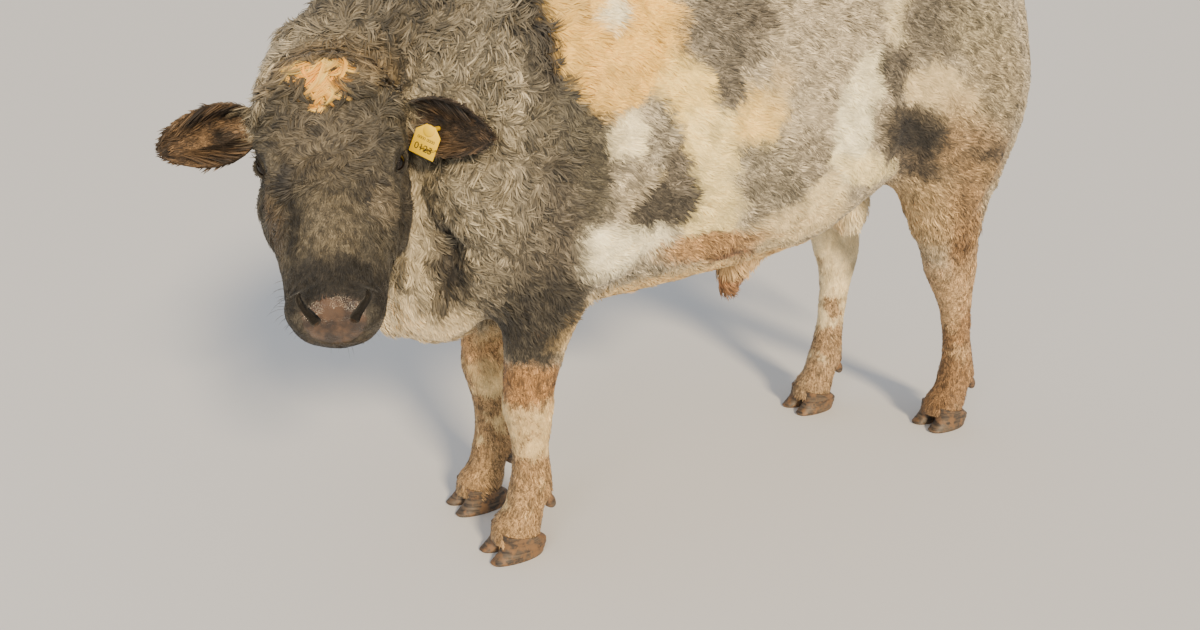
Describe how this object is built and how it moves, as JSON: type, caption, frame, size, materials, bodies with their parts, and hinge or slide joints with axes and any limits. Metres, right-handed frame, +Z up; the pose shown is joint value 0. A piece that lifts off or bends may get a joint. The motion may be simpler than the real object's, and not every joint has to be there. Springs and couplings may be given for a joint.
{
  "type": "life-size still model of a standing belgian blue bull",
  "caption": "Life-size still model of a heavily muscled polled bull standing with its head turned to its left, with an ear tag.",
  "frame": {"origin": "middle of the model's box in plan, on the floor that the claws stand on", "axes": "+Z up, -Y towards the bull's front, +X towards the bull's left"},
  "size_m": [0.8576, 2.3384, 1.4667],
  "materials": {
    "coat_roan": "short curly blue-roan hair over hide, matte",
    "coat_pale": "short cream hair over hide with dried mud, matte",
    "skin_pale": "thinly haired pale skin, satin",
    "horn": "dark horn of the claws, satin",
    "eye": "wet dark eye, gloss",
    "tag": "yellow moulded plate, satin",
    "tail_hair": "long coarse hair, matte"
  },
  "bodies": {
    "root": {"ear_left": "coat_roan", "ear_right": "coat_roan", "foreleg_upper_left": "coat_roan", "foreleg_upper_right": "coat_roan", "head": "coat_roan", "hindleg_lower_left": "coat_roan", "hindleg_upper_left": "coat_roan", "hindleg_upper_right": "coat_roan", "neck": "coat_roan", "tail": "coat_roan", "torso": "coat_roan", "foreleg_lower_left": "coat_pale", "foreleg_lower_right": "coat_pale", "hindleg_lower_right": "coat_pale", "scrotum": "skin_pale", "sheath": "skin_pale", "claw_fore_left_a": "horn", "claw_fore_left_b": "horn", "claw_fore_right_a": "horn", "claw_fore_right_b": "horn", "claw_hind_left_a": "horn", "claw_hind_left_b": "horn", "claw_hind_right_a": "horn", "claw_hind_right_b": "horn", "dewclaw_fore_left_a": "horn", "dewclaw_fore_left_b": "horn", "dewclaw_fore_right_a": "horn", "dewclaw_fore_right_b": "horn", "dewclaw_hind_left_a": "horn", "dewclaw_hind_left_b": "horn", "dewclaw_hind_right_a": "horn", "dewclaw_hind_right_b": "horn", "eye_left": "eye", "eye_right": "eye", "ear_tag": "tag", "tail_switch": "tail_hair"}
  },
  "joints": []
}
